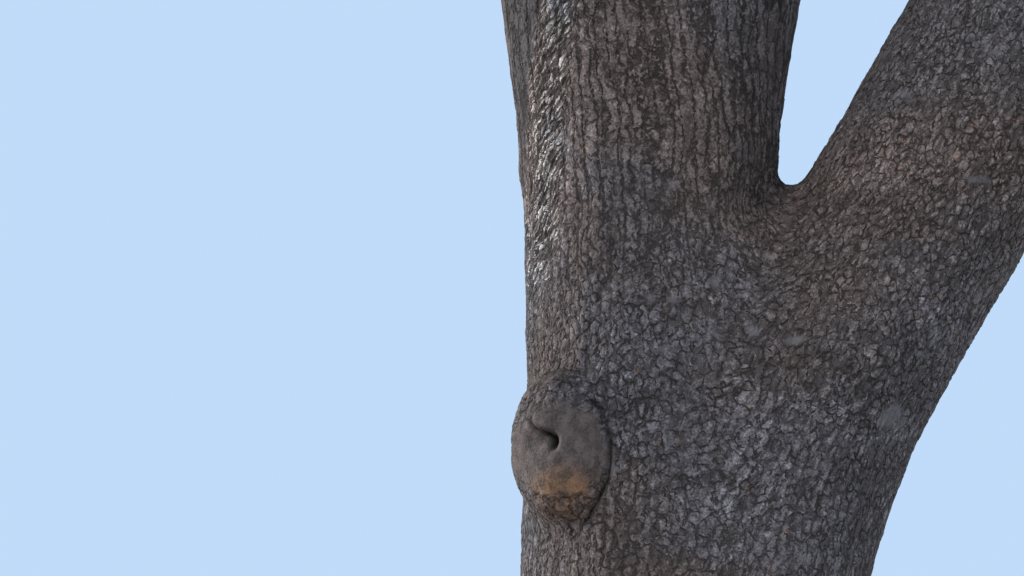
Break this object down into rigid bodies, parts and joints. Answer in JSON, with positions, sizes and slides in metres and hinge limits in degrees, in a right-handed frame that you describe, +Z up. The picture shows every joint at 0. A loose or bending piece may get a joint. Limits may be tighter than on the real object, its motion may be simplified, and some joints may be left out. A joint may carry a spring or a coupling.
{
  "type": "jackalberry tree",
  "caption": "Large rooted savanna tree with scaly grey bark, a thick low-forked trunk with a healed knot, spreading boughs and a wide domed leafy crown.",
  "frame": {"origin": "centre of the flat cut under the trunk, at ground level", "axes": "+Z up along the trunk, +X towards the leaning stem, -Y towards the side with the knot"},
  "size_m": [15.2983, 16.6951, 15.6927],
  "materials": {
    "bark": "rough scaly grey-brown bark, matt",
    "callus": "smoother healed wood over an old limb's scar, matt",
    "leaves": "leathery dark green leaves, slightly glossy"
  },
  "bodies": {
    "root": {"trunk": "bark", "left_stem": "bark", "right_stem": "bark", "knot": "callus", "left_leader": "bark", "centre_leader": "bark", "right_leader": "bark", "low_bough_1": "bark", "low_bough_2": "bark", "low_bough_3": "bark", "low_bough_4": "bark", "low_bough_5": "bark", "low_bough_6": "bark", "low_bough_7": "bark", "mid_bough_1": "bark", "mid_bough_2": "bark", "mid_bough_3": "bark", "mid_bough_4": "bark", "mid_bough_5": "bark", "low_foliage_1": "leaves", "low_foliage_2": "leaves", "low_foliage_3": "leaves", "low_foliage_4": "leaves", "low_foliage_5": "leaves", "low_foliage_6": "leaves", "low_foliage_7": "leaves", "mid_foliage_1": "leaves", "mid_foliage_2": "leaves", "mid_foliage_3": "leaves", "mid_foliage_4": "leaves", "mid_foliage_5": "leaves", "top_foliage_1": "leaves", "top_foliage_2": "leaves", "top_foliage_3": "leaves"}
  },
  "joints": []
}
